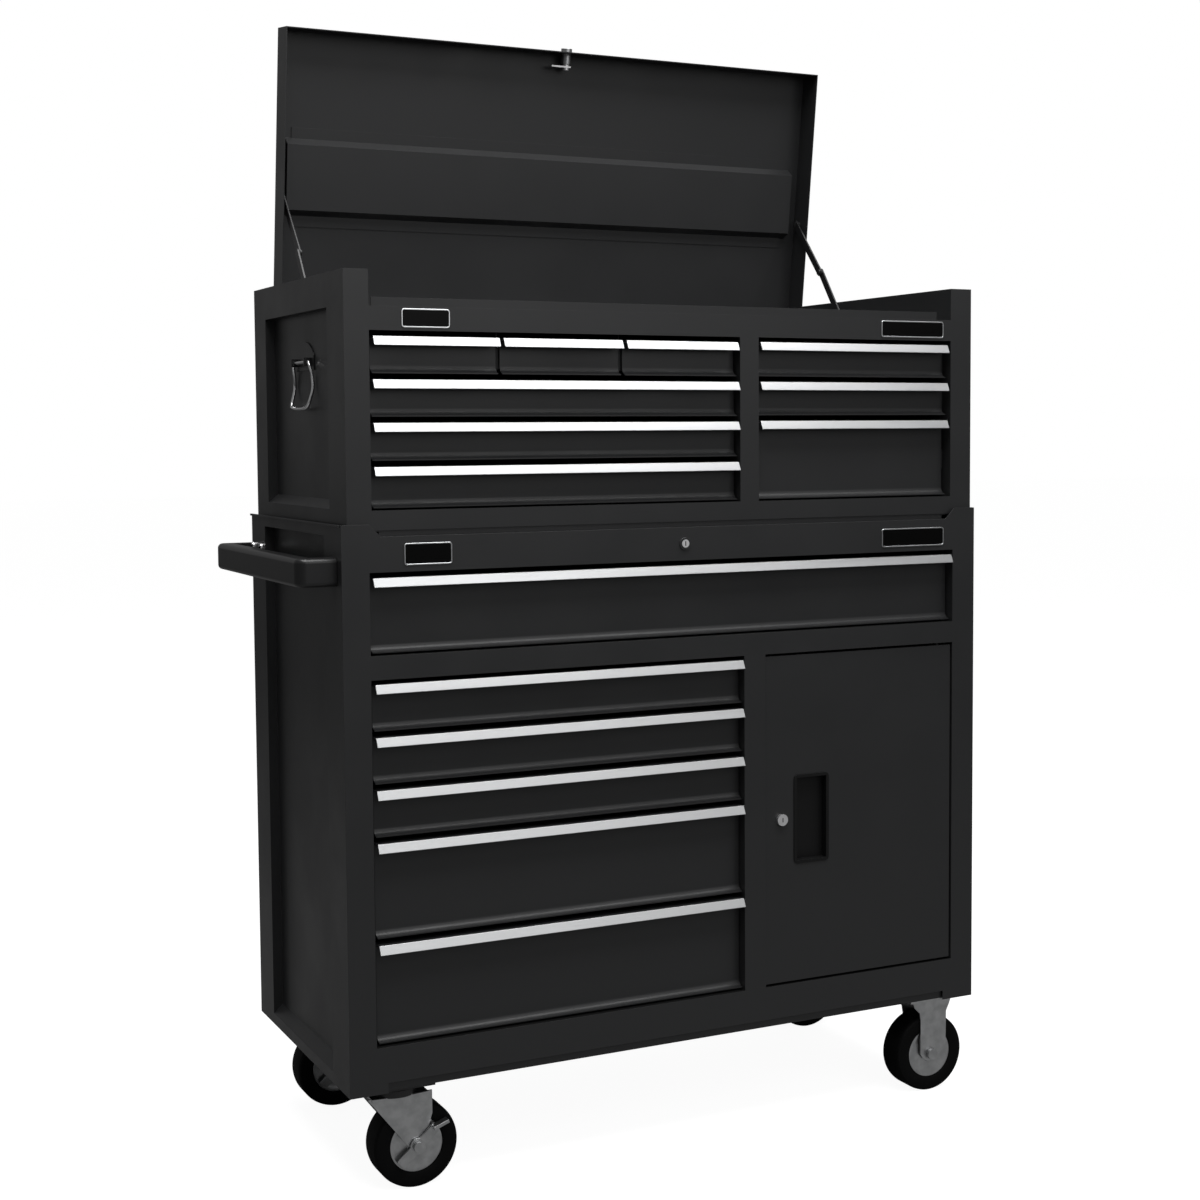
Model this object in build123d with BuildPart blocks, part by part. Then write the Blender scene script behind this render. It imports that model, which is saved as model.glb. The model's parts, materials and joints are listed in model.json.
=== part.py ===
from build123d import *
import math
import os

os.makedirs("parts", exist_ok=True)

# ---- driving dimensions, millimetres -------------------------------------
# Cabinet frame: x from the roll-cab's left side, y from its front plane, z from the
# bottom edge of its posts.  OX, OY, OZ carry it to the bottom centre of the object.
OX, OY, OZ = -500.0, -239.885, 153.0
SHEET = 1.5
RUN = 0.06

CAB_W, CAB_D, CAB_TOP = 1055.0, 457.0, 797.0
CAB_RAIL_TOP, DECK_Z = 780.0, 788.0
CAB_OPEN = (40.0, 1013.5)
CAB_POST = (630.0, 667.0)
CAB_MID_RAIL = (582.0, 615.5)
CAB_BASE_RAIL = (14.5, 66.0)
CAB_RECESS = (77.0, 383.0, 17.0, 780.0)
CAB_WIDE_TOP = 730.6

CHEST_X = (11.2, 1053.1)
CHEST_Y = (8.4, 460.0)
CHEST_TOP, CHEST_RAIL_TOP = 1145.3, 1095.6
CHEST_OPEN = (47.0, 1014.0)
CHEST_POST = (628.8, 661.0)
CHEST_CELL = (815.7, 1062.7)
CHEST_RECESS = (85.0, 398.0, 816.5, 1097.0)
TILL_Z = 1063.0
RECESS_DEPTH = 16.5

HINGE_Y, HINGE_Z = 452.0, 1112.0
LID_OPEN = 82.5
LID_X = (48.0, 998.0)
LID_FRONT, LID_BACK, LID_SKIN = -435.5, 8.0, 32.0
LID_RIM, LID_LOCK_X = -15.0, 529.0
HINGE_X = (60.0, 985.0)

TRIM_H, TRIM_REACH, TRIM_DEEP = 13.0, 6.0, 25.0
FACE_Y, FLARE = 17.0, 10.0
TRAY_DEEP = 400.0
RAIL_T, RAIL_H, RAIL_GAP = 4.5, 30.0, 0.7

WHEEL_R, WHEEL_W, AXLE_Z = 62.5, 46.0, -90.5
AXLE_R = 6.0
FORK_IN, FORK_T = 23.5, 2.5
SWIVELS = {"front": 47.0, "rear": 418.0}
FIXED = {"front": 40.0, "rear": 414.0}
SWIVEL_X, TRAIL, FIXED_X = 78.0, 27.0, 985.0

STAY_KNEE = (362.0, 1198.0)
STAY_WALL = (282.6, 1090.0)
STAY_LID = (-177.0, 14.0)
STAY_W, STAY_T = 13.0, 2.5

LOCK_R, BARREL_R, PLUG_R = 9.0, 8.0, 6.0

# name, support planes x, front x, trim top z, face bottom z, front plane y
DRAWERS = [
    ("chest_small_left", 47.0, 242.1, 53.0, 239.7, 1055.0, 1005.6, 8.4),
    ("chest_small_middle", 243.6, 435.5, 246.0, 433.0, 1055.0, 1005.6, 8.4),
    ("chest_small_right", 437.0, 628.8, 439.5, 626.0, 1055.0, 1005.6, 8.4),
    ("chest_bank_upper", 47.0, 628.8, 52.0, 627.0, 995.6, 946.0, 8.4),
    ("chest_bank_middle", 47.0, 628.8, 52.0, 627.0, 936.0, 885.4, 8.4),
    ("chest_bank_lower", 47.0, 628.8, 52.0, 627.0, 875.4, 820.0, 8.4),
    ("chest_right_upper", 661.0, 1014.0, 665.0, 1008.8, 1056.0, 1006.0, 8.4),
    ("chest_right_middle", 661.0, 1014.0, 665.0, 1008.8, 996.0, 947.0, 8.4),
    ("chest_right_deep", 661.0, 1014.0, 665.0, 1008.8, 937.0, 820.0, 8.4),
    ("cab_wide", 40.0, 1013.5, 45.0, 1011.5, 723.0, 620.0, 0.0),
    ("cab_shallow_upper", 40.0, 630.0, 46.0, 629.0, 575.5, 511.5, 0.0),
    ("cab_shallow_middle", 40.0, 630.0, 46.0, 629.0, 501.5, 437.5, 0.0),
    ("cab_shallow_lower", 40.0, 630.0, 46.0, 629.0, 427.5, 363.0, 0.0),
    ("cab_deep_upper", 40.0, 630.0, 46.0, 629.0, 353.0, 220.0, 0.0),
    ("cab_deep_lower", 40.0, 630.0, 46.0, 629.0, 210.0, 71.0, 0.0),
]

LID_PLANE = Plane(
    origin=(0, HINGE_Y + OY, HINGE_Z + OZ),
    x_dir=(1, 0, 0),
    z_dir=(0, math.sin(math.radians(LID_OPEN)), math.cos(math.radians(LID_OPEN))),
)


# ---- shared shapes --------------------------------------------------------
def save(builder, label):
    builder.part.label = label
    export_step(builder.part, f"parts/{label}.step")


def slab(x0, x1, y0, y1, z0, z1, mode=Mode.ADD):
    """A plate between cabinet-frame limits."""
    middle = ((x0 + x1) / 2 + OX, (y0 + y1) / 2 + OY, (z0 + z1) / 2 + OZ)
    with Locations(middle):
        Box(abs(x1 - x0), abs(y1 - y0), abs(z1 - z0), mode=mode)


def leaf(x0, x1, y0, y1, z0, z1, mode=Mode.ADD):
    """A plate in the lid's own frame, y and z measured from the hinge pin."""
    with Locations(((x0 + x1) / 2 + OX, (y0 + y1) / 2, (z0 + z1) / 2)):
        Box(abs(x1 - x0), abs(y1 - y0), abs(z1 - z0), mode=mode)


def rod(axis, radius, centre, length, mode=Mode.ADD):
    """A round bar along X, Y or Z, centred on a cabinet-frame point."""
    turn = {"x": (0, 90, 0), "y": (90, 0, 0), "z": (0, 0, 0)}[axis]
    place = (centre[0] + OX, centre[1] + OY, centre[2] + OZ)
    with Locations(Location(place, turn)):
        Cylinder(radius, length, mode=mode)


def lid_rod(axis, radius, centre, length, mode=Mode.ADD):
    """A round bar in the lid's own frame."""
    turn = {"x": (0, 90, 0), "y": (90, 0, 0), "z": (0, 0, 0)}[axis]
    with Locations(Location((centre[0] + OX, centre[1], centre[2]), turn)):
        Cylinder(radius, length, mode=mode)


def lid_prism(points, x0, x1):
    """A (y, z) outline in the lid's own frame, run along X."""
    start = LID_PLANE.from_local_coords((x0 + OX, 0, 0))
    plane = Plane(origin=start, x_dir=LID_PLANE.y_dir, z_dir=(1, 0, 0))
    with BuildSketch(plane) as outline:
        with BuildLine():
            Polyline(*points, close=True)
        make_face()
    extrude(outline.sketch, amount=x1 - x0)


def prism_x(points, x0, x1, mode=Mode.ADD):
    """A (y, z) outline run along X."""
    plane = Plane(origin=(x0 + OX, OY, OZ), x_dir=(0, 1, 0), z_dir=(1, 0, 0))
    with BuildSketch(plane) as outline:
        with BuildLine():
            Polyline(*points, close=True)
        make_face()
    extrude(outline.sketch, amount=x1 - x0, mode=mode)


def prism_y(points, y0, y1, mode=Mode.ADD):
    """An (x, z) outline run along Y."""
    plane = Plane(origin=(OX, y1 + OY, OZ), x_dir=(1, 0, 0), z_dir=(0, -1, 0))
    with BuildSketch(plane) as outline:
        with BuildLine():
            Polyline(*points, close=True)
        make_face()
    extrude(outline.sketch, amount=y1 - y0, mode=mode)


def inward(face, side, near, far):
    """The x limits of something between two depths behind a side face."""
    return sorted((face + side * near, face + side * far))


def side_panel(face, side, y0, y1, z0, z1, recess, slope):
    """Pressed side with a sunk middle panel and a sloped lower ledge."""
    ry0, ry1, rz0, rz1 = recess
    slab(*inward(face, side, 0, SHEET), y0, y1, z0, z1)
    slab(*inward(face, side, 0, RECESS_DEPTH), ry0 - 2, ry1 + 2, rz0 - 2, rz1 + 2)
    floor = RECESS_DEPTH - SHEET
    slab(*inward(face, side, -1, floor), ry0, ry1, rz0, rz1, mode=Mode.SUBTRACT)
    ledge = [
        (face + side * 0.5, rz0 - 1),
        (face + side * 0.5, rz0),
        (face + side * floor, rz0 + slope),
        (face + side * (floor + 0.5), rz0 - 1),
    ]
    prism_y(ledge, ry0 - 1, ry1 + 1)


# ---- roll-cab carcass -----------------------------------------------------
with BuildPart() as rollcab_shell:
    side_panel(0, 1, 0, CAB_D, 0, CAB_TOP, CAB_RECESS, 13)
    side_panel(CAB_W, -1, 0, CAB_D, 0, CAB_TOP, CAB_RECESS, 13)
    # lips folded out along the top of both sides
    slab(-2, 0.5, 6, CAB_D + 3, CAB_TOP - 3, CAB_TOP)
    slab(CAB_W - 0.5, CAB_W + 2, 6, CAB_D + 3, CAB_TOP - 3, CAB_TOP)
    # back
    slab(0, CAB_W, CAB_D - SHEET, CAB_D, 0, DECK_Z - 2)
    # front posts with their ramps down to the top rail
    left_post = [
        (0, 0), (CAB_OPEN[0], 0), (CAB_OPEN[0], CAB_RAIL_TOP), (57, CAB_RAIL_TOP),
        (46, CAB_TOP - 6), (40, CAB_TOP), (0, CAB_TOP),
    ]
    right_post = [
        (CAB_W, 0), (CAB_OPEN[1], 0), (CAB_OPEN[1], CAB_RAIL_TOP - 20), (999, CAB_RAIL_TOP - 20),
        (999, CAB_RAIL_TOP), (1010, CAB_TOP - 6), (1016, CAB_TOP), (CAB_W, CAB_TOP),
    ]
    prism_y(left_post, 0, SHEET)
    prism_y(right_post, 0, SHEET)
    # feet of the posts beside the set-back bottom edge
    slab(39, 56, 0, SHEET, 0, CAB_BASE_RAIL[0] + 1)
    slab(998, 1015, 0, SHEET, 0, CAB_BASE_RAIL[0] + 1)
    for edge, side in ((CAB_OPEN[0], -1), (CAB_OPEN[1], 1)):
        slab(*inward(edge, side, 0, SHEET), 0, 30, CAB_BASE_RAIL[0], CAB_RAIL_TOP)
        slab(*inward(edge, side, 0, SHEET), 425, CAB_D, CAB_BASE_RAIL[0], CAB_RAIL_TOP)
    # rails
    slab(39, 1014, 0, SHEET, CAB_WIDE_TOP, CAB_RAIL_TOP)
    slab(39, 1014, 0, 12, CAB_RAIL_TOP - SHEET, CAB_RAIL_TOP)
    slab(39, 1014, 0, 14, CAB_WIDE_TOP, CAB_WIDE_TOP + SHEET)
    slab(39, 1014, 0, SHEET, *CAB_MID_RAIL)
    slab(39, 1014, 0, 30, CAB_MID_RAIL[0], CAB_MID_RAIL[0] + SHEET)
    slab(39, 1014, 0, 14, CAB_MID_RAIL[1] - SHEET, CAB_MID_RAIL[1])
    slab(39, 1014, 0, SHEET, *CAB_BASE_RAIL)
    slab(39, 1014, 0, 30, CAB_BASE_RAIL[1] - SHEET, CAB_BASE_RAIL[1])
    # post between the drawer bank and the cupboard
    slab(*CAB_POST, 0, SHEET, CAB_BASE_RAIL[0], CAB_MID_RAIL[1])
    for edge, side in ((CAB_POST[0], 1), (CAB_POST[1], -1)):
        slab(*inward(edge, side, 0, SHEET), 0, 30, CAB_BASE_RAIL[0], CAB_MID_RAIL[0])
    slab(CAB_POST[0], CAB_POST[0] + SHEET, 425, CAB_D, CAB_BASE_RAIL[0], CAB_MID_RAIL[0])
    # slot the door lock's tongue turns into
    slab(CAB_POST[1] - 3, CAB_POST[1] + 1, 17, 26, 310, 352, mode=Mode.SUBTRACT)
    # bottom pan and its set-back front edge
    slab(0.5, CAB_W - 0.5, 5, CAB_D - 0.5, 2, 4)
    slab(55, 999, 5, 7, 2, 16)
    slab(39, 1014, 0, 7, CAB_BASE_RAIL[0], CAB_BASE_RAIL[0] + SHEET)
    # bores: cabinet lock, kingpins, door pins
    rod("y", BARREL_R + RUN, (528.8, 1, 755.8), 6, mode=Mode.SUBTRACT)
    for y in SWIVELS.values():
        rod("z", 12, (SWIVEL_X, y, 3), 8, mode=Mode.SUBTRACT)
save(rollcab_shell, "rollcab_shell")

with BuildPart() as rollcab_inner_panels:
    # deck the upper chest stands on
    slab(SHEET, CAB_W - SHEET, 10, CAB_D - SHEET, DECK_Z - 2, DECK_Z)
    slab(57, 999, 10, 12, CAB_RAIL_TOP, DECK_Z)
    # dust panel under the wide drawer
    slab(*CAB_OPEN, SHEET, CAB_D - SHEET, 597, 598.5)
    # wall between the drawer bank and the cupboard
    slab(648, 649.5, 31, CAB_D - SHEET, 4, 597.5)
    # cupboard shelf with a folded front edge
    slab(649, CAB_OPEN[1], 60, CAB_D - SHEET, 300, 301.5)
    slab(649, CAB_OPEN[1], 60, 61.5, 282, 301)
save(rollcab_inner_panels, "rollcab_inner_panels")

# ---- top chest carcass ----------------------------------------------------
with BuildPart() as topchest_shell:
    cx0, cx1 = CHEST_X
    cy0, cy1 = CHEST_Y
    side_panel(cx0, 1, cy0, cy1, DECK_Z, CHEST_TOP, CHEST_RECESS, 12)
    side_panel(cx1, -1, cy0, cy1, DECK_Z, CHEST_TOP, CHEST_RECESS, 12)
    # inner walls and caps of the double sides
    for inner, outer, side in ((CHEST_OPEN[0], cx0, -1), (CHEST_OPEN[1], cx1, 1)):
        slab(*inward(inner, side, 0, SHEET), cy0, cy1, DECK_Z, CHEST_TOP)
        slab(*sorted((inner, outer)), cy0, cy0 + SHEET, DECK_Z, CHEST_TOP)
        slab(*sorted((inner, outer)), cy0, cy1, CHEST_TOP - SHEET, CHEST_TOP)
        slab(*sorted((inner, outer)), cy1 - SHEET, cy1, DECK_Z, CHEST_TOP)
    # front rails and the bank post
    slab(46, 1015, cy0, cy0 + SHEET, CHEST_CELL[1], CHEST_RAIL_TOP)
    slab(46, 1015, cy0, cy0 + 15, CHEST_RAIL_TOP - SHEET, CHEST_RAIL_TOP)
    slab(46, 1015, cy0, cy0 + 14, CHEST_CELL[1], CHEST_CELL[1] + SHEET)
    slab(46, 1015, cy0, cy0 + SHEET, DECK_Z, CHEST_CELL[0])
    slab(46, 1015, cy0, cy0 + 14, CHEST_CELL[0] - SHEET, CHEST_CELL[0])
    slab(*CHEST_POST, cy0, cy0 + SHEET, DECK_Z, CHEST_RAIL_TOP)
    for edge, side in ((CHEST_POST[0], 1), (CHEST_POST[1], -1)):
        slab(*inward(edge, side, 0, SHEET), cy0, 40, DECK_Z, TILL_Z + 1)
        slab(*inward(edge, side, 0, SHEET), 425, cy1, DECK_Z, TILL_Z + 1)
    # upstand the lid closes in front of
    slab(55, 996, cy0 + 13.6, cy0 + 15.1, CHEST_RAIL_TOP - 1, 1108.7)
    # bottom, back and the folded top edge of the back
    slab(cx0, cx1, cy0, cy1, DECK_Z, DECK_Z + SHEET)
    slab(cx0, cx1, cy1 - SHEET, cy1, DECK_Z, 1096)
    slab(46, 1015, 448, cy1, 1094.5, 1096)
    slab(46, 1015, 448, 449.5, 1076, 1096)
save(topchest_shell, "topchest_shell")

with BuildPart() as topchest_inner_panels:
    # till floor, drawer hangers of the small row, wall beside the right bank
    slab(47, 1014, cy0 + SHEET, cy1 - SHEET, TILL_Z + SHEET, TILL_Z + 2 * SHEET)
    for x in (242.1, 435.5):
        slab(x, x + SHEET, 30, cy1 - SHEET, 1008, TILL_Z + 2)
    slab(644, 645.5, 24, cy1 - SHEET, DECK_Z + SHEET, TILL_Z + 2)
save(topchest_inner_panels, "topchest_inner_panels")


# ---- drawers --------------------------------------------------------------
def rail_base(trim_top, face_bottom):
    return (trim_top + face_bottom) / 2 - 19


def tray_body(sup0, sup1, fx0, fx1, trim_top, face_bottom, front):
    """Folded tray with flared front sheet and the slide members on its sides."""
    fy = front + FACE_Y
    bend = FLARE + SHEET
    plane = Plane(origin=(fx0 + OX, OY, OZ), x_dir=(0, 1, 0), z_dir=(1, 0, 0))
    with BuildSketch(plane) as front_sheet:
        with BuildLine():
            top = trim_top - 3
            half = math.sqrt(0.5)
            curve = (fy - FLARE, face_bottom + FLARE)
            Line((fy, top), (fy, curve[1]))
            ThreePointArc(
                (fy, curve[1]),
                (curve[0] + FLARE * half, curve[1] - FLARE * half),
                (curve[0], curve[1] - FLARE),
            )
            Line((curve[0], curve[1] - FLARE), (curve[0], curve[1] - bend))
            ThreePointArc(
                (curve[0], curve[1] - bend),
                (curve[0] + bend * half, curve[1] - bend * half),
                (curve[0] + bend, curve[1]),
            )
            Line((fy + SHEET, curve[1]), (fy + SHEET, top))
            Line((fy + SHEET, top), (fy, top))
        make_face()
    extrude(front_sheet.sketch, amount=fx1 - fx0)
    shift = RAIL_T * 2 + RAIL_GAP
    tx0, tx1 = sup0 + shift, sup1 - shift
    back = fy + TRAY_DEEP
    low, high = face_bottom + 3.5, trim_top - 12
    slab(tx0, tx1, fy - 0.5, back, low, low + SHEET)
    slab(tx0, tx0 + SHEET, fy + 0.5, back, low, high)
    slab(tx1 - SHEET, tx1, fy + 0.5, back, low, high)
    slab(tx0, tx1, back - SHEET, back, low, high)
    base = rail_base(trim_top, face_bottom)
    for x in (tx0 - RAIL_T, tx1 - 0.2):
        slab(x, x + RAIL_T + 0.2, fy + 5, back, base, base + RAIL_H)


def pull_body(fx0, fx1, trim_top, front):
    """Pull trim: a top strip over the drawer front and a lip leaning forward."""
    lip = [
        (front + TRIM_DEEP - 1, trim_top), (front + 1, trim_top),
        (front + 1 - TRIM_REACH, trim_top - TRIM_H + 0.6),
        (front + 2.2 - TRIM_REACH, trim_top - TRIM_H), (front + 3.4, trim_top - 3),
        (front + TRIM_DEEP - 1, trim_top - 3),
    ]
    prism_x(lip, fx0, fx1)


for name, sup0, sup1, fx0, fx1, trim_top, face_bottom, front in DRAWERS:
    with BuildPart() as tray:
        tray_body(sup0, sup1, fx0, fx1, trim_top, face_bottom, front)
    save(tray, f"tray_{name}")
    with BuildPart() as pull:
        pull_body(fx0, fx1, trim_top, front)
    save(pull, f"pull_{name}")

# ---- fixed steel fittings -------------------------------------------------
KNUCKLES = [(HINGE_X[0], 200), (340, 480), (580, 720), (860, HINGE_X[1])]
with BuildPart() as steel_fittings:
    # cabinet members of the drawer slides
    for name, sup0, sup1, fx0, fx1, trim_top, face_bottom, front in DRAWERS:
        base = rail_base(trim_top, face_bottom)
        stop = CAB_D - SHEET if front == 0 else CHEST_Y[1] - SHEET
        for x in (sup0, sup1 - RAIL_T):
            slab(x, x + RAIL_T, front + FACE_Y + 5, stop, base, base + RAIL_H)
    # piano hinge: fixed leaf, its knuckles and the pin
    slab(*HINGE_X, 446.5, 448, 1078, 1108)
    for x0, x1 in KNUCKLES:
        rod("x", 5, ((x0 + x1) / 2, HINGE_Y, HINGE_Z), x1 - x0)
        slab(x0, x1, 446.5, 448, 1107, 1112)
    rod("x", 2.5, (sum(HINGE_X) / 2, HINGE_Y, HINGE_Z), HINGE_X[1] - HINGE_X[0])
    # cupboard door pins
    rod("z", 3, (990.6, 11, CAB_MID_RAIL[0] - 4.6), 9.2)
    rod("z", 3, (990.6, 11, CAB_BASE_RAIL[1] + 4.6), 9.2)
    # cabinet lock barrel
    rod("y", LOCK_R, (528.8, -1.5, 755.8), 3)
    rod("y", BARREL_R, (528.8, 9, 755.8), 18)
    rod("y", PLUG_R + RUN, (528.8, 5, 755.8), 40, mode=Mode.SUBTRACT)
    # screws beside the rear arm of the push handle
    for y in (390, 435):
        rod("x", 4, (-3, y, 746), 6)
save(steel_fittings, "steel_fittings")

# ---- push handle ----------------------------------------------------------
with BuildPart() as push_handle:
    with BuildSketch(Plane(origin=(OX, OY, 712 + OZ))):
        with Locations((-28.5, 240)):
            Rectangle(57, 444)
        fillet(vertices().group_by(Axis.X)[0], 16)
        with Locations((-17, 240)):
            Rectangle(34.2, 400, mode=Mode.SUBTRACT)
    extrude(amount=40)
    fillet(edges().filter_by(Axis.Y).group_by(Axis.X)[0], 7)
save(push_handle, "push_handle")

# ---- blank badge plates ---------------------------------------------------
BADGES = [
    (90, 160.5, 739.5, 770, 0), (877.5, 995, 738.5, 767.5, 0),
    (93.7, 164.6, 1067, 1093, 8.4), (881.5, 999, 1067, 1092.7, 8.4),
]
with BuildPart() as badge_plates:
    for x0, x1, z0, z1, front in BADGES:
        slab(x0, x1, front - 1.6, front, z0, z1)
        slab(x0 + 2, x1 - 2, front - 2, front - 1.1, z0 + 2, z1 - 2, mode=Mode.SUBTRACT)
save(badge_plates, "badge_plates")

# ---- cupboard door --------------------------------------------------------
DOOR = (668.0, 1010.6, 69.5, 578.0)
with BuildPart() as door_panel:
    dx0, dx1, dz0, dz1 = DOOR
    slab(dx0, dx1, 2, 20, dz0, dz1)
    slab(dx0 + SHEET, dx1 - SHEET, 2 + SHEET, 21, dz0 + SHEET, dz1 - SHEET, mode=Mode.SUBTRACT)
    slab(dx0, dx0 + 14, 18.5, 20, dz0, dz1)
    slab(dx1 - 14, dx1, 18.5, 20, dz0, dz1)
    slab(720.5, 778.5, 0, 6, 255.5, 389.5, mode=Mode.SUBTRACT)
    rod("y", PLUG_R + RUN, (695.6, 3, 324.5), 8, mode=Mode.SUBTRACT)
    for z in (dz0, dz1):
        rod("z", 3 + RUN, (990.6, 11, z), 8, mode=Mode.SUBTRACT)
save(door_panel, "door_panel")

with BuildPart() as door_pull_cup:
    with BuildSketch(Plane(origin=(OX, 2 + OY, OZ), x_dir=(1, 0, 0), z_dir=(0, -1, 0))):
        with Locations((749.5, 322.5)):
            RectangleRounded(63, 139, 7)
    extrude(amount=1.6)
    slab(720.5, 778.5, 2, 15, 255.5, 389.5)
    slab(723, 776, 0, 13.5, 258, 387, mode=Mode.SUBTRACT)
save(door_pull_cup, "door_pull_cup")


# ---- locks ----------------------------------------------------------------
def lock_plug(x, z, face, reach, tongue):
    """Key plug with its slot and the cam on its inner end."""
    rod("y", PLUG_R, (x, face + reach / 2, z), reach)
    slab(x - 0.8, x + 0.8, face - 1, face + 4, z - 3.5, z + 3.5, mode=Mode.SUBTRACT)
    slab(x - 6, x + 6, face + reach, face + reach + 2.5, z - 6, z + tongue)


with BuildPart() as cab_lock_core:
    lock_plug(528.8, 755.8, -3, 21.5, 17)
save(cab_lock_core, "cab_lock_core")

with BuildPart() as door_lock_core:
    rod("y", LOCK_R, (695.6, -0.8, 324.5), 5)
    rod("y", PLUG_R, (695.6, 10.5, 324.5), 20)
    slab(694.8, 696.4, -4, -1, 321, 328, mode=Mode.SUBTRACT)
    slab(689.6, 701.6, 20.5, 23, 318.5, 358.5)
save(door_lock_core, "door_lock_core")

# ---- lid ------------------------------------------------------------------
with BuildPart(LID_PLANE) as lid_shell:
    lx0, lx1 = LID_X
    leaf(lx0, lx1, LID_FRONT, LID_BACK, LID_SKIN - SHEET, LID_SKIN)
    leaf(lx0, lx0 + SHEET, LID_FRONT, LID_BACK, 0, LID_SKIN)
    leaf(lx1 - SHEET, lx1, LID_FRONT, LID_BACK, 0, LID_SKIN)
    leaf(lx0, lx0 + SHEET, LID_FRONT, -18, LID_RIM, LID_SKIN)
    leaf(lx1 - SHEET, lx1, LID_FRONT, -18, LID_RIM, LID_SKIN)
    leaf(lx0, lx1, LID_FRONT, LID_FRONT + SHEET, LID_RIM, LID_SKIN)
    leaf(lx0, lx1, LID_BACK - SHEET, LID_BACK, 0, LID_SKIN)
    # hat-section stiffener welded across the inside, with its weld flanges
    hat = [
        (-271, 30.6), (-261, 15), (-160, 15), (-150, 30.6),
        (-151.8, 30.6), (-160.8, 16.5), (-260.2, 16.5), (-269.2, 30.6),
    ]
    lid_prism(hat, 61.5, 976.5)
    leaf(71.5, 966.5, -287, -134, LID_SKIN - 2 * SHEET, LID_SKIN - 0.5)
    # stay pivots on the side flanges
    for x in (lx0 + SHEET + 4.1, lx1 - SHEET - 4.1):
        lid_rod("x", 4, (x, *STAY_LID), 8.4)
    lid_rod("y", BARREL_R + RUN, (LID_LOCK_X, LID_FRONT, 14), 6, mode=Mode.SUBTRACT)
save(lid_shell, "lid_shell")

with BuildPart(LID_PLANE) as lid_lock_barrel:
    lid_rod("y", LOCK_R, (LID_LOCK_X, LID_FRONT - 3.5, 14), 7)
    lid_rod("y", BARREL_R, (LID_LOCK_X, LID_FRONT + 9, 14), 18)
    lid_rod("y", PLUG_R + RUN, (LID_LOCK_X, LID_FRONT + 5, 14), 50, mode=Mode.SUBTRACT)
    # moving leaf and knuckles of the piano hinge
    for x0, x1 in ((201, 339), (481, 579), (721, 859)):
        leaf(x0, x1, 5.5, 6.5, -1, 20)
        lid_rod("x", 5, ((x0 + x1) / 2, 0, 0), x1 - x0)
        leaf(x0, x1, 4, 6.5, -1, 1)
        lid_rod("x", 2.5 + RUN, ((x0 + x1) / 2, 0, 0), x1 - x0 + 4, mode=Mode.SUBTRACT)
save(lid_lock_barrel, "lid_lock_and_hinge")

with BuildPart(LID_PLANE) as lid_lock_core:
    key = (LID_LOCK_X - 0.8, LID_LOCK_X + 0.8)
    lid_rod("y", PLUG_R, (LID_LOCK_X, LID_FRONT + 7.5, 14), 28)
    leaf(*key, LID_FRONT - 8, LID_FRONT - 3, 10.5, 17.5, mode=Mode.SUBTRACT)
    leaf(LID_LOCK_X - 28, LID_LOCK_X + 6, LID_FRONT + 21, LID_FRONT + 23.5, 8, 20)
    lid_rod("y", 5, (LID_LOCK_X, LID_FRONT + 25.5, 14), 4)
save(lid_lock_core, "lid_lock_core")


# ---- lid stays ------------------------------------------------------------
def link_plate(x, start, end, mode=Mode.ADD):
    """A flat link between two (y, z) pivots, its near face at x."""
    dy, dz = end[0] - start[0], end[1] - start[1]
    length = math.hypot(dy, dz)
    middle = (x + OX, (start[0] + end[0]) / 2 + OY, (start[1] + end[1]) / 2 + OZ)
    plane = Plane(origin=middle, x_dir=(0, dy, dz), z_dir=(1, 0, 0))
    with BuildSketch(plane) as outline:
        SlotCenterToCenter(length, STAY_W)
    extrude(outline.sketch, amount=STAY_T, mode=mode)


lean = math.radians(-LID_OPEN)
STAY_TOP = (
    HINGE_Y + STAY_LID[0] * math.cos(lean) - STAY_LID[1] * math.sin(lean),
    HINGE_Z + STAY_LID[0] * math.sin(lean) + STAY_LID[1] * math.cos(lean),
)
SIDES = (("left", LID_X[0], 1, CHEST_OPEN[0]), ("right", LID_X[1], -1, CHEST_OPEN[1]))
for side_name, rim, side, wall in SIDES:
    low = min(rim + side * 3.8, rim + side * (3.8 + STAY_T))
    high = min(rim + side * 6.9, rim + side * (6.9 + STAY_T))
    with BuildPart() as lower_link:
        link_plate(low, STAY_WALL, STAY_KNEE)
        rod("x", 4 + RUN, (low + 1, *STAY_WALL), 12, mode=Mode.SUBTRACT)
    save(lower_link, f"stay_lower_{side_name}")
    with BuildPart() as upper_link:
        link_plate(high, STAY_KNEE, STAY_TOP)
        rod("x", 4 + RUN, (high + 1, *STAY_TOP), 12, mode=Mode.SUBTRACT)
        knee_x = rim + side * (6.9 + STAY_T + 1)
        rod("x", 5, (knee_x, *STAY_KNEE), 2.2)
    save(upper_link, f"stay_upper_{side_name}")

# ---- carry handles on the upper chest ------------------------------------
PIVOT_Z, GRIP_Y = 1026.0, 237.0


def handle_x(side, face, out):
    """x of a point standing out from the recess floor of one side."""
    return face + side * (RECESS_DEPTH - SHEET - out)


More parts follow.
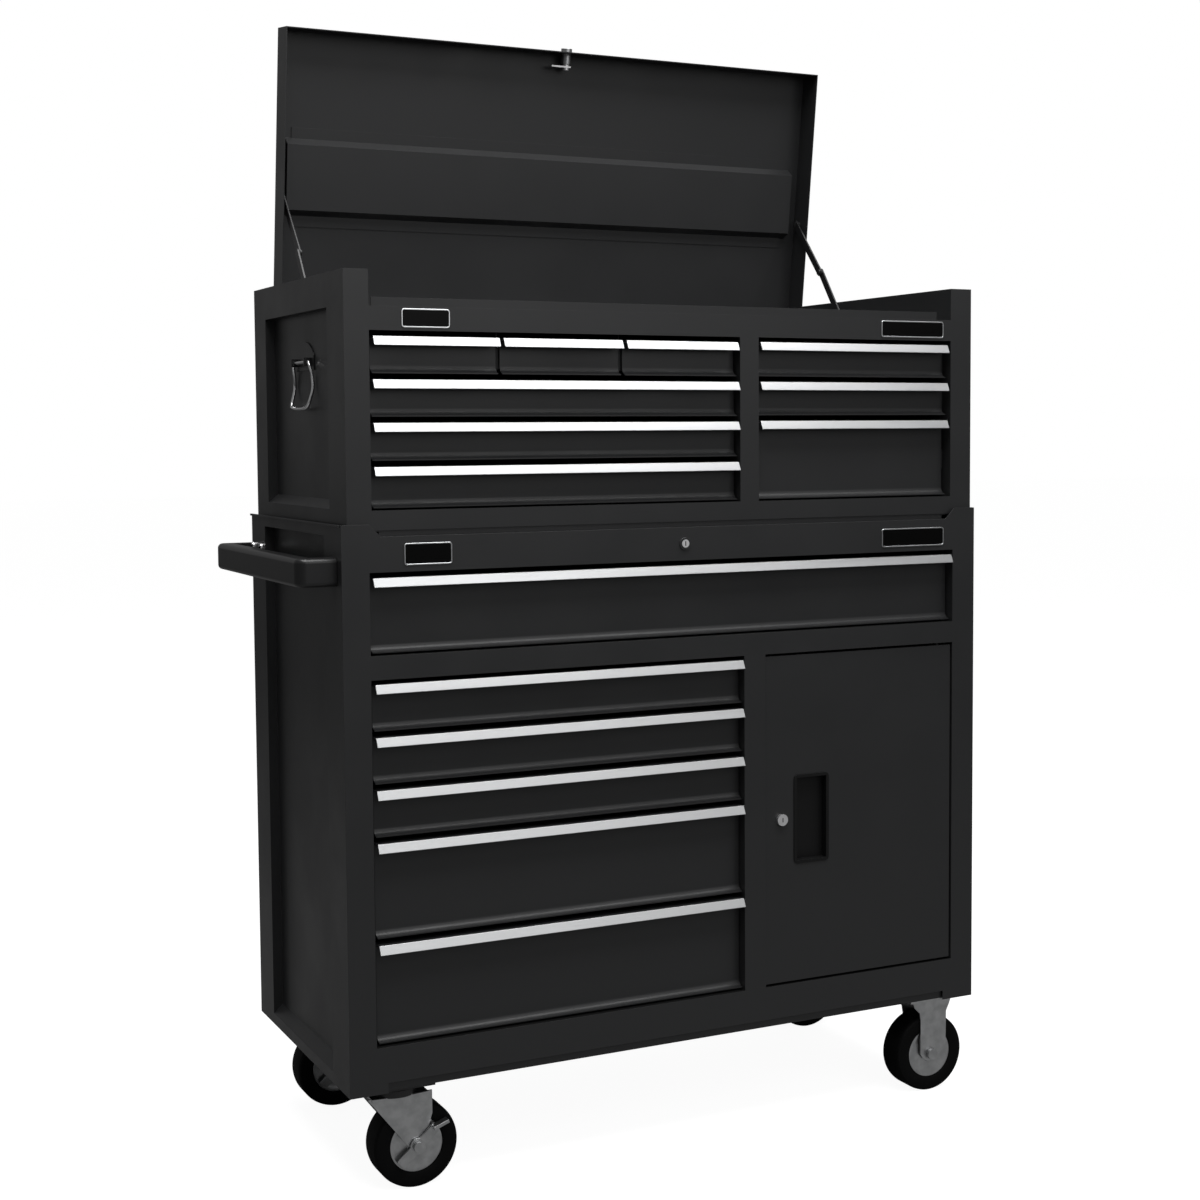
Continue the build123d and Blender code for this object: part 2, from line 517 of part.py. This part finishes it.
with BuildPart() as carry_plates:
    for face, side in ((CHEST_X[0], 1), (CHEST_X[1], -1)):
        floor = handle_x(side, face, 0)
        low = min(floor, handle_x(side, face, 2))
        outline = Plane(origin=(low + OX, GRIP_Y + OY, OZ), x_dir=(0, 1, 0), z_dir=(1, 0, 0))
        with BuildSketch(outline):
            with BuildLine():
                Line((-45, 1014), (45, 1014))
                Line((45, 1014), (45, 1036))
                ThreePointArc((45, 1036), (0, 1056), (-45, 1036))
                Line((-45, 1036), (-45, 1014))
            make_face()
        extrude(amount=2)
        for y in (GRIP_Y - 34, GRIP_Y + 30):
            ends = sorted((handle_x(side, face, 1), handle_x(side, face, 13)))
            slab(*ends, y, y + 4, PIVOT_Z - 6, PIVOT_Z + 6)
        pin_x = handle_x(side, face, 8)
        rod("y", 3 + RUN, (pin_x, GRIP_Y, PIVOT_Z), 80, mode=Mode.SUBTRACT)
    # stay pivots riveted to the inner walls
    for side_name, rim, side, wall in SIDES:
        reach = rim + side * (3.8 + STAY_T + 0.2)
        rod("x", 4, ((wall + reach) / 2, *STAY_WALL), abs(reach - wall))
save(carry_plates, "carry_plates_and_pivots")

for side_name, face, side in (("left", CHEST_X[0], 1), ("right", CHEST_X[1], -1)):
    pin_x = handle_x(side, face, 8)
    with BuildPart() as bail:
        lower = Plane(origin=(pin_x - 3.5 + OX, GRIP_Y + OY, OZ), x_dir=(0, 1, 0), z_dir=(1, 0, 0))
        with BuildSketch(lower):
            with BuildLine():
                Polyline(
                    (-42, PIVOT_Z + 4), (-46, 990), (-46, 964), (-40, 958),
                    (40, 958), (46, 964), (46, 990), (42, PIVOT_Z + 4), close=True,
                )
            make_face()
            with BuildLine():
                Polyline(
                    (-34.6, PIVOT_Z + 5), (-38, 990), (-38, 970), (-34, 966),
                    (34, 966), (38, 970), (38, 990), (34.6, PIVOT_Z + 5), close=True,
                )
            make_face(mode=Mode.SUBTRACT)
        extrude(amount=7)
        fillet(edges().filter_by(Axis.Y), 2.5)
        for y in (GRIP_Y - 32, GRIP_Y + 32):
            rod("y", 3, (pin_x, y, PIVOT_Z), 10)
    save(bail, f"carry_bail_{side_name}")

# ---- casters --------------------------------------------------------------
with BuildPart() as caster_mounts:
    # swivel top plates with the fixed half of the raceway
    for y in SWIVELS.values():
        slab(SWIVEL_X - 50, SWIVEL_X + 50, y - 40, y + 36, -1.5, 2)
        rod("z", 30, (SWIVEL_X, y, -2.5), 3)
        rod("z", AXLE_R + RUN, (SWIVEL_X, y, 0), 20, mode=Mode.SUBTRACT)
    # rigid yokes: top plate, two legs and the axle bolt
    for y in FIXED.values():
        slab(FIXED_X - 45, FIXED_X + 50, y - 35, y + 35, -1.5, 2)
        leg = [
            (FIXED_X - 36, -1), (FIXED_X - 32, -12), (FIXED_X - 22, -22), (FIXED_X - 20, -34),
            (FIXED_X - 20, -90), (FIXED_X - 14, -99), (FIXED_X - 3, -103),
            (FIXED_X + 8, -99), (FIXED_X + 24, -87), (FIXED_X + 29, -80),
            (FIXED_X + 30, -24), (FIXED_X + 36, -12), (FIXED_X + 40, -1),
        ]
        prism_y(leg, y + FORK_IN, y + FORK_IN + FORK_T)
        prism_y(leg, y - FORK_IN - FORK_T, y - FORK_IN)
        rod("y", AXLE_R, (FIXED_X, y, AXLE_Z), 2 * FORK_IN + 12)
        rod("y", 9, (FIXED_X, y - FORK_IN - 6, AXLE_Z), 6)
        rod("y", 9, (FIXED_X, y + FORK_IN + 6, AXLE_Z), 6)
save(caster_mounts, "caster_mounts")


def wheel_body(x, y):
    """Tyre, flat hub disc and bore."""
    rod("y", WHEEL_R, (x, y, AXLE_Z), WHEEL_W)
    fillet(edges().filter_by(GeomType.CIRCLE), 5)
    for end in (-1, 1):
        rod("y", 39, (x, y + end * WHEEL_W / 2, AXLE_Z), 3, mode=Mode.SUBTRACT)
    rod("y", 14, (x, y, AXLE_Z), WHEEL_W)
    rod("y", AXLE_R + RUN, (x, y, AXLE_Z), 80, mode=Mode.SUBTRACT)


for place, y in SWIVELS.items():
    axle_x = SWIVEL_X + TRAIL
    with BuildPart() as fork:
        rod("z", 34, (SWIVEL_X, y, -9.4), 10)
        slab(SWIVEL_X - 40, SWIVEL_X + 44, y - 28, y + 28, -17, -13)
        cheek = [
            (SWIVEL_X - 46, -13), (SWIVEL_X + 50, -13), (SWIVEL_X + 50, -46),
            (SWIVEL_X + 44, -66), (axle_x + 10, -100), (axle_x - 6, -102),
            (axle_x - 12, -92),
        ]
        prism_y(cheek, y + FORK_IN, y + FORK_IN + FORK_T)
        prism_y(cheek, y - FORK_IN - FORK_T, y - FORK_IN)
        rod("z", AXLE_R, (SWIVEL_X, y, -6), 14)
        rod("y", AXLE_R, (axle_x, y - 1.5, AXLE_Z), 2 * FORK_IN + 17)
        rod("y", 9, (axle_x, y + FORK_IN + 6, AXLE_Z), 6)
        rod("y", 8, (axle_x, y - FORK_IN - 9.5, AXLE_Z), 5)
    save(fork, f"swivel_fork_{place}")
    with BuildPart() as brake:
        spin = Location((axle_x + OX, y - FORK_IN - 5 + OY, AXLE_Z + OZ), (0, -42, 0))
        with Locations(spin):
            Box(72, 3, 15)
        rod("y", 12, (axle_x, y - FORK_IN - 5, AXLE_Z), 3)
        foot = Location((axle_x + 32 + OX, y - FORK_IN - 10 + OY, AXLE_Z + 29 + OZ), (0, -20, 0))
        with Locations(foot):
            Box(24, 13, 5)
        rod("y", AXLE_R + RUN, (axle_x, y - FORK_IN, AXLE_Z), 40, mode=Mode.SUBTRACT)
    save(brake, f"brake_lever_{place}")
    with BuildPart() as wheel:
        wheel_body(axle_x, y)
    save(wheel, f"wheel_swivel_{place}")
    with BuildPart() as wheel:
        wheel_body(FIXED_X, FIXED[place])
    save(wheel, f"wheel_fixed_{place}")
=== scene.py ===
import json
import math

import bmesh
import bpy
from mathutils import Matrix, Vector


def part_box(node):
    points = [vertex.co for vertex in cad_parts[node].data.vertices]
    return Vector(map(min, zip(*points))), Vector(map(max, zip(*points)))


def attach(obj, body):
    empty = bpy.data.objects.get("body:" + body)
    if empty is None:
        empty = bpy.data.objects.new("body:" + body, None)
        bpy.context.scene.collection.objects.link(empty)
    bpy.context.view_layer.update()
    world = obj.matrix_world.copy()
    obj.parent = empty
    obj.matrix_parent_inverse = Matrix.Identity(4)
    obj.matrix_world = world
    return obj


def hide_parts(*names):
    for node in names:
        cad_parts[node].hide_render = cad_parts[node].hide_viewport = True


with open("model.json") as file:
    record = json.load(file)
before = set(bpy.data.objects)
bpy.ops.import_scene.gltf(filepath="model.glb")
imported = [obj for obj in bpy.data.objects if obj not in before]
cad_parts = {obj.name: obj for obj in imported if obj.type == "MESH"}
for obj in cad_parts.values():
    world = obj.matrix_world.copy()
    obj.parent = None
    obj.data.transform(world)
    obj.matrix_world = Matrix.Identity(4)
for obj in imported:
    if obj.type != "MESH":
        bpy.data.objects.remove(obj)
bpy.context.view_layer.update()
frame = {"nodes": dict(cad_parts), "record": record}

NODES = frame["nodes"]
RECORD = frame["record"]
BODIES = RECORD["behaviour"]["bodies"]
BODY_OF = {node: body for body, members in BODIES.items() for node in members}
MM = 0.001


# ---- materials ------------------------------------------------------------
def new_material(name, colour, roughness, metallic=0.0, specular=0.5):
    material = bpy.data.materials.new(name)
    material.use_nodes = True
    shader = material.node_tree.nodes["Principled BSDF"]
    shader.inputs["Base Color"].default_value = (*colour, 1.0)
    shader.inputs["Roughness"].default_value = roughness
    shader.inputs["Metallic"].default_value = metallic
    shader.inputs["Specular IOR Level"].default_value = specular
    return material


def noise(material, scale, detail=3.0, stretch=(1, 1, 1)):
    """A noise texture in object coordinates, stretched along chosen axes."""
    tree = material.node_tree
    coords = tree.nodes.new("ShaderNodeTexCoord")
    mapping = tree.nodes.new("ShaderNodeMapping")
    mapping.inputs["Scale"].default_value = stretch
    texture = tree.nodes.new("ShaderNodeTexNoise")
    texture.inputs["Scale"].default_value = scale
    texture.inputs["Detail"].default_value = detail
    tree.links.new(coords.outputs["Object"], mapping.inputs["Vector"])
    tree.links.new(mapping.outputs["Vector"], texture.inputs["Vector"])
    return texture


def add_bump(material, scale, strength, distance, stretch=(1, 1, 1), detail=3.0):
    tree = material.node_tree
    texture = noise(material, scale, detail, stretch)
    bump = tree.nodes.new("ShaderNodeBump")
    bump.inputs["Strength"].default_value = strength
    bump.inputs["Distance"].default_value = distance
    tree.links.new(texture.outputs["Fac"], bump.inputs["Height"])
    tree.links.new(bump.outputs["Normal"], tree.nodes["Principled BSDF"].inputs["Normal"])


def vary(material, socket, scale, low, high, stretch=(1, 1, 1)):
    """The socket runs between two values or colours with a noise."""
    tree = material.node_tree
    texture = noise(material, scale, 4.0, stretch)
    ramp = tree.nodes.new("ShaderNodeValToRGB")
    as_colour = isinstance(low, tuple)
    ramp.color_ramp.elements[0].color = (*low, 1) if as_colour else (low, low, low, 1)
    ramp.color_ramp.elements[1].color = (*high, 1) if as_colour else (high, high, high, 1)
    ramp.color_ramp.elements[0].position = 0.35
    ramp.color_ramp.elements[1].position = 0.65
    tree.links.new(texture.outputs["Fac"], ramp.inputs["Fac"])
    tree.links.new(ramp.outputs["Color"], tree.nodes["Principled BSDF"].inputs[socket])


PAINT = new_material("body_paint", (0.0165, 0.0168, 0.0175), 0.40, specular=0.36)
vary(PAINT, "Roughness", 9, 0.36, 0.43)
add_bump(PAINT, 620, 0.08, 0.0003)

ALUMINIUM = new_material("pull_aluminium", (0.46, 0.465, 0.47), 0.40, metallic=1.0)
vary(ALUMINIUM, "Roughness", 60, 0.34, 0.44, stretch=(0.15, 12, 12))
add_bump(ALUMINIUM, 90, 0.06, 0.0002, stretch=(0.05, 14, 14))

ZINC = new_material("zinc_steel", (0.42, 0.425, 0.43), 0.33, metallic=1.0)
vary(ZINC, "Base Color", 70, (0.37, 0.375, 0.38), (0.47, 0.475, 0.48))

CHROME = new_material("bright_chrome", (0.80, 0.80, 0.81), 0.10, metallic=1.0)
LOCK = new_material("lock_nickel", (0.78, 0.78, 0.79), 0.42, metallic=1.0)
vary(LOCK, "Roughness", 300, 0.38, 0.46)

BLACK_STEEL = new_material("black_steel", (0.010, 0.010, 0.0105), 0.38, specular=0.4)
CUP = new_material("cup_plastic", (0.004, 0.004, 0.0042), 0.5, specular=0.2)
add_bump(CUP, 900, 0.08, 0.0002)
HANDLE = new_material("handle_plastic", (0.009, 0.009, 0.0095), 0.34, specular=0.4)
add_bump(HANDLE, 900, 0.08, 0.0002)

RUBBER = new_material("tyre_rubber", (0.0022, 0.0022, 0.0023), 0.62, specular=0.07)
add_bump(RUBBER, 500, 0.12, 0.0003)

LINER = new_material("drawer_liner", (0.012, 0.012, 0.0125), 0.85, specular=0.2)
add_bump(LINER, 260, 0.35, 0.0006)

BADGE_FACE = new_material("badge_face", (0.0015, 0.0015, 0.0015), 0.3, specular=0.08)
BADGE_RIM = new_material("badge_rim", (0.62, 0.63, 0.64), 0.28, metallic=1.0)
# near-black painted shade, for the inside of the key slots and the folds under the lowest drawers
SHADE_BLACK = new_material("painted_shade_black", (0.004, 0.004, 0.004), 0.8, specular=0.1)

SLOTS = {
    "body_paint": PAINT,
    "drawer_paint": PAINT,
    "pull_aluminium": ALUMINIUM,
    "zinc_steel": ZINC,
    "bright_chrome": LOCK,
    "black_steel": BLACK_STEEL,
    "handle_plastic": HANDLE,
    "badge_plate": BADGE_RIM,
    "tyre_rubber": RUBBER,
}


# ---- CAD nodes: materials and softened edges ------------------------------
# edge radii in millimetres, where they differ from the usual one
EDGE = {"push_handle": 0.8, "door_panel": 0.7, "lid_shell": 0.6}
USUAL_EDGE = 0.5
SAME_POINT = 0.00001


def dress(name, material):
    """A material, a small edge radius and even shading for a CAD node."""
    node = NODES[name]
    node.data.materials.clear()
    node.data.materials.append(material)
    for polygon in node.data.polygons:
        polygon.use_smooth = True
    weld = node.modifiers.new("join", "WELD")
    weld.merge_threshold = SAME_POINT
    flat = node.modifiers.new("flat", "DECIMATE")
    flat.decimate_type = "DISSOLVE"
    flat.angle_limit = math.radians(0.5)
    flat.delimit = {"MATERIAL"}
    bevel = node.modifiers.new("edge", "BEVEL")
    bevel.width = EDGE.get(name, USUAL_EDGE) * MM
    bevel.segments = 2
    bevel.limit_method = "ANGLE"
    bevel.angle_limit = math.radians(40)
    shade = node.modifiers.new("shade", "WEIGHTED_NORMAL")
    shade.mode = "FACE_AREA"
    shade.weight = 100


for part in RECORD["subparts"]:
    dress(part["node"], SLOTS[part["material_slot"]])
# the cup is duller and darker than the push handle, which shares its slot
NODES["door_pull_cup"].data.materials[0] = CUP


def paint_faces(node, material, test):
    """A second material for the faces of a CAD node that pass a test."""
    mesh = NODES[node].data
    mesh.materials.append(material)
    slot = len(mesh.materials) - 1
    for polygon in mesh.polygons:
        if test(polygon.center, polygon.normal):
            polygon.material_index = slot


def between(value, middle, reach):
    return abs(value - middle) <= reach * MM


# the pulls' top faces are painted, the slides along the trays are bare zinc
UPWARD = 0.95
SLIDE_START = 40 * MM
SLIDE_REACH = 2 * MM
for name in NODES:
    if name.startswith("pull_"):
        paint_faces(name, PAINT, lambda centre, normal: normal.z > UPWARD)
    if name.startswith("tray_"):
        low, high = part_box(name)
        slides = (low[0], high[0], low[1] + SLIDE_START)
        paint_faces(
            name,
            ZINC,
            lambda centre, normal, s=slides: centre.y > s[2]
            and abs(normal.x) > 0.9
            and (centre.x < s[0] + SLIDE_REACH or centre.x > s[1] - SLIDE_REACH),
        )

# painted shade: the front ends of the slides take the dark body paint so the gaps between the
# drawers read dark; the door pins are painted
SLIDE_ENDS_Y = -0.2
PIN_INSET, PIN_DEPTH, PIN_REACH = 20, 9, 4
door_low, door_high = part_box("door_panel")
pin_x = door_high[0] - PIN_INSET * MM
paint_faces(
    "steel_fittings", PAINT, lambda centre, normal: normal.y < -0.9 and centre.y < SLIDE_ENDS_Y
)
paint_faces(
    "steel_fittings",
    PAINT,
    lambda centre, normal: between(centre.x, pin_x, PIN_REACH)
    and between(centre.y, door_low[1] + PIN_DEPTH * MM, PIN_REACH)
    and (centre.z < door_low[2] + 20 * MM or between(centre.z, door_high[2], 20)),
)

# the mounts on the swivel side and the raceways on top of the forks are black
RACEWAY = 14.5 * MM
paint_faces("caster_mounts", BLACK_STEEL, lambda centre, normal: centre.x < 0)
for name in ("swivel_fork_front", "swivel_fork_rear"):
    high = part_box(name)[1]
    paint_faces(
        name, BLACK_STEEL, lambda centre, normal, z=high[2]: centre.z > z - RACEWAY
    )

# painted shade: the folds that the lowest drawers close onto are painted near-black for the shade
# under the drawers; heights above each shell's foot
FOLDS = {"rollcab_shell": (66.0, 615.5), "topchest_shell": (27.7,)}
FOLD_DEPTH = 32 * MM
for name, heights in FOLDS.items():
    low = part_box(name)[0]
    levels = [low[2] + height * MM for height in heights]
    paint_faces(
        name,
        SHADE_BLACK,
        lambda centre, normal, front=low[1], levels=levels: normal.z > 0.9
        and centre.y < front + FOLD_DEPTH
        and any(between(centre.z, level, 0.6) for level in levels),
    )

# painted shade: the inside of each key slot is painted near-black
for name in ("cab_lock_core", "door_lock_core"):
    low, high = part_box(name)
    middle = (low[0] + high[0]) / 2
    paint_faces(
        name,
        SHADE_BLACK,
        lambda centre, normal, x=middle, y=low[1]: between(centre.x, x, 0.9)
        and 0.2 * MM < centre.y - y < 6 * MM,
    )


# ---- mesh helpers ---------------------------------------------------------
def add_object(name, mesh, material, body):
    piece = bpy.data.objects.new(name, mesh)
    bpy.context.scene.collection.objects.link(piece)
    mesh.materials.append(material)
    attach(piece, body)
    return piece


def lathe(name, outline, centre, material, body, steps=96, axis="y"):
    """Turns (radius, along) points round an axis through the centre."""
    mesh = bpy.data.meshes.new(name)
    shape = bmesh.new()
    rings = []
    for step in range(steps):
        angle = math.tau * step / steps
        ring = []
        for radius, along in outline:
            a, b = radius * math.cos(angle), radius * math.sin(angle)
            offset = {"y": (a, along, b), "z": (a, b, along), "x": (along, a, b)}[axis]
            ring.append(shape.verts.new(Vector(centre) + Vector(offset)))
        rings.append(ring)
    for step in range(steps):
        here, there = rings[step], rings[(step + 1) % steps]
        for k in range(len(outline)):
            after = (k + 1) % len(outline)
            shape.faces.new((here[k], here[after], there[after], there[k]))
    bmesh.ops.recalc_face_normals(shape, faces=shape.faces)
    shape.to_mesh(mesh)
    shape.free()
    for polygon in mesh.polygons:
        polygon.use_smooth = True
    mesh.set_sharp_from_angle(angle=math.radians(35))
    return add_object(name, mesh, material, body)


def rounded_plate(name, low, high, radius, material, body, bevel=0.3, hole=None):
    """A plate facing -Y with rounded corners, or a frame when hole is its width."""
    mesh = bpy.data.meshes.new(name)
    shape = bmesh.new()

    def loop(inset, y):
        corner = max(radius - inset, 0.2 * MM)
        x0, x1 = low[0] + inset, high[0] - inset
        z0, z1 = low[2] + inset, high[2] - inset
        centres = (
            (x1 - corner, z1 - corner, 0), (x0 + corner, z1 - corner, 90),
            (x0 + corner, z0 + corner, 180), (x1 - corner, z0 + corner, 270),
        )
        found = []
        for cx, cz, start in centres:
            for k in range(5):
                angle = math.radians(start + 22.5 * k)
                found.append(
                    shape.verts.new(
                        (cx + corner * math.cos(angle), y, cz + corner * math.sin(angle))
                    )
                )
        return found

    front, back = low[1], high[1]
    loops = [loop(0, back), loop(0, front + bevel * MM), loop(bevel * MM, front)]
    if hole:
        loops += [loop(hole - bevel * MM, front), loop(hole, front + bevel * MM), loop(hole, back)]
    for first, second in zip(loops, loops[1:]):
        count = len(first)
        for k in range(count):
            after = (k + 1) % count
            shape.faces.new((first[k], first[after], second[after], second[k]))
    if not hole:
        shape.faces.new(loops[-1])
        shape.faces.new(list(reversed(loops[0])))
    else:
        first, second = loops[-1], loops[0]
        for k in range(len(first)):
            after = (k + 1) % len(first)
            shape.faces.new((first[k], first[after], second[after], second[k]))
    bmesh.ops.recalc_face_normals(shape, faces=shape.faces)
    shape.to_mesh(mesh)
    shape.free()
    return add_object(name, mesh, material, body)


def box_piece(name, low, high, material, body):
    """A flat sheet or block between two corners."""
    mesh = bpy.data.meshes.new(name)
    shape = bmesh.new()
    bmesh.ops.create_cube(shape, size=1.0)
    size = Vector(high) - Vector(low)
    middle = (Vector(high) + Vector(low)) / 2
    bmesh.ops.scale(shape, vec=size, verts=shape.verts)
    bmesh.ops.translate(shape, vec=middle, verts=shape.verts)
    shape.to_mesh(mesh)
    shape.free()
    return add_object(name, mesh, material, body)


def bent_rod(name, points, radius, material, body):
    """A round bar through the points, with smooth bends."""
    data = bpy.data.curves.new(name, "CURVE")
    data.dimensions = "3D"
    data.bevel_depth = radius
    data.bevel_resolution = 5
    data.resolution_u = 10
    data.use_fill_caps = True
    spline = data.splines.new("BEZIER")
    spline.bezier_points.add(len(points) - 1)
    for knot, point in zip(spline.bezier_points, points):
        knot.co = point
        knot.handle_left_type = knot.handle_right_type = "AUTO"
    rod = bpy.data.objects.new(name, data)
    bpy.context.scene.collection.objects.link(rod)
    data.materials.append(material)
    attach(rod, body)
    return rod


# ---- carry bails: bent chrome rods ----------------------------------------
BAIL_WIRE, PIVOT_WIRE, PIN_DROP = 2.4, 2.6, 4
# half of a bail from its pin: inwards from the side wall, along the wall, up
BAIL_HALF = (
    (0, 38, 0), (1.5, 42, -8), (4, 45, -24), (4.2, 46, -38), (1, 45, -52), (-2, 42.5, -62),
    (-2.6, 38, -65.4),
)
for side, inward in (("left", 1), ("right", -1)):
    low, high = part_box(f"carry_bail_{side}")
    pin = Vector(((low[0] + high[0]) / 2, (low[1] + high[1]) / 2, high[2] - PIN_DROP * MM))
    half = [Vector((inward * x, y, z)) * MM for x, y, z in BAIL_HALF]
    back = [Vector((v.x, -v.y, v.z)) for v in reversed(half)]
    path = [pin + step for step in half + back]
    bail = bent_rod(f"bail_{side}", path, BAIL_WIRE * MM, CHROME, f"carry_bail_{side}")
    ends = [pin + Vector((0, end * MM, 0)) for end in (-39, -13, 13, 39)]
    pivot = bent_rod(
        f"bail_pivot_{side}", ends, PIVOT_WIRE * MM, CHROME, f"carry_bail_{side}"
    )
    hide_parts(f"carry_bail_{side}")
    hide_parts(f"carry_bail_{side}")

# ---- domed screw heads beside the rear arm of the push handle -------------
# radius and height of a screw head, and how far back and down the two heads sit
SCREW = ((0.2, -8), (2.6, -7.6), (4.4, -6.2), (5, -4.2), (5, 0), (0.2, 0))
SCREW_BACKS, SCREW_DROP = (27, 72), 3.2
handle_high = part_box("push_handle")[1]
for number, back in enumerate(SCREW_BACKS):
    lathe(
        f"handle_screw_{number}",
        [(radius * MM, along * MM) for radius, along in SCREW],
        (handle_high[0], handle_high[1] - back * MM, handle_high[2] - SCREW_DROP * MM),
        CHROME,
        "cabinet",
        steps=32,
        axis="x",
    )

# ---- liners lying in the drawers ------------------------------------------
LINER_SIDE, LINER_FRONT, LINER_BACK = 6.5 * MM, 12.5 * MM, 2 * MM
LINER_UNDER, LINER_TOP = 6.5 * MM, 7.7 * MM
for name in sorted(NODES):
    if name.startswith("tray_"):
        low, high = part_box(name)
        box_piece(
            f"liner_{name[5:]}",
            (low[0] + LINER_SIDE, low[1] + LINER_FRONT, low[2] + LINER_UNDER),
            (high[0] - LINER_SIDE, high[1] - LINER_BACK, low[2] + LINER_TOP),
            LINER,
            BODY_OF[name],
        )

# ---- badges: blank dark plates with a bright border -----------------------
def islands(node):
    """The boxes of a CAD node's separate solids, low corner first."""
    shape = bmesh.new()
    shape.from_mesh(NODES[node].data)
    bmesh.ops.remove_doubles(shape, verts=shape.verts, dist=SAME_POINT)
    left = set(shape.verts)
    found = []
    while left:
        queue = [left.pop()]
        members = []
        while queue:
            vert = queue.pop()
            members.append(vert.co.copy())
            for edge in vert.link_edges:
                other = edge.other_vert(vert)
                if other in left:
                    left.remove(other)
                    queue.append(other)
        low = Vector(min(co[k] for co in members) for k in range(3))
        high = Vector(max(co[k] for co in members) for k in range(3))
        found.append((low, high))
    shape.free()
    return sorted(found, key=lambda pair: tuple(pair[0]))


BADGE_EDGE, FACE_DEPTH, BORDER = 1 * MM, 0.5 * MM, 1.7 * MM
badges = []
for number, (low, high) in enumerate(islands("badge_plates")):
    inner_low = low + Vector((BADGE_EDGE, FACE_DEPTH, BADGE_EDGE))
    inner_high = high - Vector((BADGE_EDGE, 0, BADGE_EDGE))
    badges.append(
        rounded_plate(
            f"badge_face_{number}", inner_low, inner_high, 3 * MM, BADGE_FACE, "cabinet",
        )
    )
    badges.append(
        rounded_plate(
            f"badge_border_{number}", low, high, 4 * MM, BADGE_RIM, "cabinet",
            hole=BORDER,
        )
    )
for badge in badges:
    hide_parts("badge_plates")

# ---- wheels: tyre and hub -------------------------------------------------
# outlines as (radius, along the axle)
TYRE = (
    (39, 19), (40, 21.8), (43, 23), (56.5, 23), (59.8, 22.2), (61.8, 19.8), (62.5, 16),
    (62.5, -16), (61.8, -19.8), (59.8, -22.2), (56.5, -23), (43, -23), (40, -21.8), (39, -19),
)
HUB = (
    (6.1, 23), (13, 23), (14, 22.6), (14.6, 21.2), (18, 20.6), (33, 20.4), (36.5, 21.4),
    (39, 20.8), (39.1, 18), (39.1, -18), (39, -20.8), (36.5, -21.4), (33, -20.4),
    (18, -20.6), (14.6, -21.2), (14, -22.6), (13, -23), (6.1, -23),
)


def scaled(outline):
    return [(radius * MM, along * MM) for radius, along in outline]


for name in [n for n in NODES if n.startswith("wheel_")]:
    low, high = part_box(name)
    centre = (Vector(low) + Vector(high)) / 2
    body = BODY_OF[name]
    tyre = lathe(f"tyre_{name[6:]}", scaled(TYRE), centre, RUBBER, body)
    hub = lathe(f"hub_{name[6:]}", scaled(HUB), centre, ZINC, body)
    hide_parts(name)
    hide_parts(name)

# ---- floor, light, camera -------------------------------------------------
def camera_only(tree, low, high):
    """A value that is low for light rays and high where the camera looks."""
    path = tree.nodes.new("ShaderNodeLightPath")
    spread = tree.nodes.new("ShaderNodeMapRange")
    spread.inputs["To Min"].default_value = low
    spread.inputs["To Max"].default_value = high
    tree.links.new(path.outputs["Is Camera Ray"], spread.inputs["Value"])
    return spread.outputs["Result"]


# the floor and the world are white to the camera and dimmer to everything else,
# so that the pale ground does not wash out the dark sheet metal
FLOOR = new_material("floor", (0.22, 0.22, 0.22), 0.9)
floor_shader = FLOOR.node_tree.nodes["Principled BSDF"]
floor_shader.inputs["Emission Color"].default_value = (1.0, 1.0, 1.0, 1.0)
FLOOR.node_tree.links.new(
    camera_only(FLOOR.node_tree, 0.0, 0.94), floor_shader.inputs["Emission Strength"]
)
floor_mesh = bpy.data.meshes.new("floor")
reach = 30.0
floor_mesh.from_pydata(
    [(-reach, -reach, 0), (reach, -reach, 0), (reach, reach, 0), (-reach, reach, 0)],
    [],
    [(0, 1, 2, 3)],
)
floor = bpy.data.objects.new("floor", floor_mesh)
floor_mesh.materials.append(FLOOR)
bpy.context.scene.collection.objects.link(floor)

world = bpy.data.worlds.new("studio")
bpy.context.scene.world = world
world.use_nodes = True
sky = world.node_tree.nodes["Background"]
sky.inputs["Color"].default_value = (1.0, 1.0, 1.0, 1)
world.node_tree.links.new(camera_only(world.node_tree, 0.19, 1.0), sky.inputs["Strength"])
bpy.context.scene.view_settings.view_transform = "Standard"


def area_light(name, place, aim, size, power):
    """A soft rectangular studio light at a place, turned to an aim."""
    data = bpy.data.lights.new(name, "AREA")
    data.shape = "RECTANGLE"
    data.size, data.size_y = size
    data.energy = power
    lamp = bpy.data.objects.new(name, data)
    lamp.location = place
    lamp.rotation_euler = (Vector(aim) - Vector(place)).to_track_quat("-Z", "Y").to_euler()
    bpy.context.scene.collection.objects.link(lamp)


area_light("front", (0.6, -3.6, 2.4), (0, 0, 0.8), (3.4, 2.4), 34)
area_light("top", (0.1, -0.8, 3.7), (0, 0, 0.2), (3.6, 2.6), 185)

camera_data = bpy.data.cameras.new("camera")
camera = bpy.data.objects.new("camera", camera_data)
bpy.context.scene.collection.objects.link(camera)
bpy.context.scene.camera = camera
camera.location = (-1.2842, -2.71573, 1.0742)
camera.rotation_euler = [math.radians(angle) for angle in (86.222, 0.355, -26.550)]
camera_data.sensor_width = 36.0
camera_data.lens = 56.72
camera_data.shift_x = -0.0320
camera_data.shift_y = -0.0359
